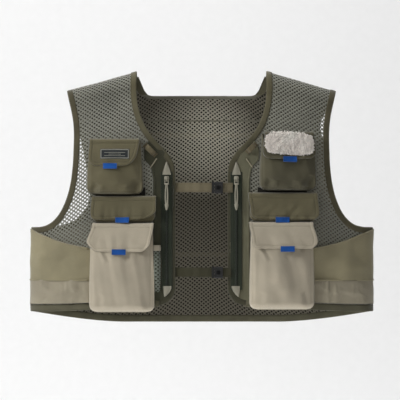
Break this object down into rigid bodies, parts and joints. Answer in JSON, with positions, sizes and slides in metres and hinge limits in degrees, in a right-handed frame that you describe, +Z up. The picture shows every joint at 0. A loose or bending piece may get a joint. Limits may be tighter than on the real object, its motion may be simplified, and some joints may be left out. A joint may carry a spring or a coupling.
{
  "type": "fishing vest",
  "caption": "Sleeveless mesh fishing vest with flap pockets, zipped front strips, buckled chest straps, bound edges and a hanger loop.",
  "frame": {"origin": "middle of the hanger loop's opening, behind the neck", "axes": "+Z up as the vest hangs, +X to the right of somebody facing it, the front faces -Y"},
  "size_m": [0.6662, 0.1712, 0.4859],
  "materials": {
    "binding": "ribbed binding tape",
    "buckle": "fine grained",
    "fleece": "deep pile fleece",
    "garage": "moulded fabric",
    "label": "plain woven label",
    "mesh": "open polyester mesh",
    "moulded": "matte moulded",
    "pocket_olive": "woven polyester",
    "pocket_stone": "woven polyester",
    "ring_steel": "satin",
    "side_band": "crinkled woven polyester",
    "side_khaki": "woven polyester",
    "slider_metal": "satin paint",
    "tab_blue": "woven tape",
    "webbing_dark": "woven webbing",
    "webbing_light": "woven webbing",
    "zip_tape": "knitted zip tape and coil"
  },
  "bodies": {
    "vest": {"back_panel": "mesh", "back_yoke": "mesh", "back_neck_binding": "binding", "hem_binding": "binding", "right_front_panel": "mesh", "left_front_panel": "mesh", "right_front_binding": "binding", "left_front_binding": "binding", "right_side_panel": "side_khaki", "left_side_panel": "side_khaki", "right_side_band": "side_band", "left_side_band": "side_band", "right_zip_placket": "pocket_olive", "left_zip_placket": "pocket_olive", "right_zip": "zip_tape", "left_zip": "zip_tape", "right_armhole_binding": "binding", "left_armhole_binding": "binding", "zip_garages": "garage", "left_chest_pocket": "pocket_olive", "right_chest_pocket": "pocket_olive", "left_mid_pocket": "pocket_olive", "right_mid_pocket": "pocket_olive", "left_cargo_pocket": "pocket_stone", "right_cargo_pocket": "pocket_stone", "upper_strap": "webbing_light", "lower_strap": "webbing_dark", "upper_socket": "buckle", "lower_socket": "buckle", "socket_webbing": "webbing_light", "tool_tabs": "webbing_dark", "tool_sleeve": "mesh", "tool_sleeve_tape": "webbing_light", "back_pocket": "mesh", "back_zip": "zip_tape", "hanger_loop": "webbing_dark", "ring_tab": "webbing_dark"},
    "left_chest_flap_body": {"left_chest_flap": "pocket_olive", "left_chest_tab": "tab_blue", "chest_label": "label"},
    "right_chest_flap_body": {"right_chest_flap": "pocket_olive", "right_chest_tab": "tab_blue", "fleece_patch": "fleece"},
    "left_mid_flap_body": {"left_mid_flap": "pocket_olive", "left_mid_tab": "tab_blue"},
    "right_mid_flap_body": {"right_mid_flap": "pocket_olive", "right_mid_tab": "tab_blue"},
    "left_cargo_flap_body": {"left_cargo_flap": "pocket_stone", "left_cargo_tab": "tab_blue"},
    "right_cargo_flap_body": {"right_cargo_flap": "pocket_stone", "right_cargo_tab": "tab_blue"},
    "left_slider_body": {"left_zip_slider": "slider_metal"},
    "left_pull_body": {"left_zip_pull": "moulded"},
    "right_slider_body": {"right_zip_slider": "slider_metal"},
    "right_pull_body": {"right_zip_pull": "moulded"},
    "back_slider_body": {"back_zip_slider": "slider_metal"},
    "upper_plug_body": {"upper_plug": "buckle"},
    "lower_plug_body": {"lower_plug": "buckle"},
    "ring_body": {"net_ring": "ring_steel"}
  },
  "joints": [
    {"name": "left_chest_flap_hinge", "type": "hinge", "parent": "vest", "child": "left_chest_flap_body", "pos_m": [-0.16696, -0.12881, -0.0759], "axis": [-0.9974, 0.0726, 0], "range_deg": [0, 150]},
    {"name": "right_chest_flap_hinge", "type": "hinge", "parent": "vest", "child": "right_chest_flap_body", "pos_m": [0.16666, -0.12883, -0.0624], "axis": [-0.9974, -0.0724, 0], "range_deg": [0, 150]},
    {"name": "left_mid_flap_hinge", "type": "hinge", "parent": "vest", "child": "left_mid_flap_body", "pos_m": [-0.15063, -0.1279, -0.1859], "axis": [-0.9982, 0.0606, 0], "range_deg": [0, 95]},
    {"name": "right_mid_flap_hinge", "type": "hinge", "parent": "vest", "child": "right_mid_flap_body", "pos_m": [0.15801, -0.12743, -0.1794], "axis": [-0.9978, -0.0659, 0], "range_deg": [0, 95]},
    {"name": "left_cargo_flap_hinge", "type": "hinge", "parent": "vest", "child": "left_cargo_flap_body", "pos_m": [-0.15411, -0.13469, -0.2379], "axis": [-0.998, 0.0628, 0], "range_deg": [0, 110]},
    {"name": "right_cargo_flap_hinge", "type": "hinge", "parent": "vest", "child": "right_cargo_flap_body", "pos_m": [0.15543, -0.13461, -0.2359], "axis": [-0.998, -0.0637, 0], "range_deg": [0, 110]},
    {"name": "left_zip_slide", "type": "slide", "parent": "vest", "child": "left_slider_body", "axis": [0, 0, -1], "range_m": [0, 0.196]},
    {"name": "left_pull_hinge", "type": "hinge", "parent": "left_slider_body", "child": "left_pull_body", "pos_m": [-0.067, -0.12465, -0.1495], "axis": [-1, 0, 0], "range_deg": [0, 150]},
    {"name": "right_zip_slide", "type": "slide", "parent": "vest", "child": "right_slider_body", "axis": [0, 0, -1], "range_m": [0, 0.196]},
    {"name": "right_pull_hinge", "type": "hinge", "parent": "right_slider_body", "child": "right_pull_body", "pos_m": [0.067, -0.12465, -0.1495], "axis": [-1, 0, 0], "range_deg": [0, 150]},
    {"name": "back_zip_slide", "type": "slide", "parent": "vest", "child": "back_slider_body", "axis": [1, 0, 0], "range_m": [0, 0.225]},
    {"name": "upper_buckle_slide", "type": "slide", "parent": "vest", "child": "upper_plug_body", "axis": [-1, 0, 0], "range_m": [0, 0.018]},
    {"name": "lower_buckle_slide", "type": "slide", "parent": "vest", "child": "lower_plug_body", "axis": [-1, 0, 0], "range_m": [0, 0.018]},
    {"name": "net_ring_hinge", "type": "hinge", "parent": "vest", "child": "ring_body", "pos_m": [0, 0.00861, -0.037], "axis": [1, 0, 0], "range_deg": [0, 150]}
  ]
}
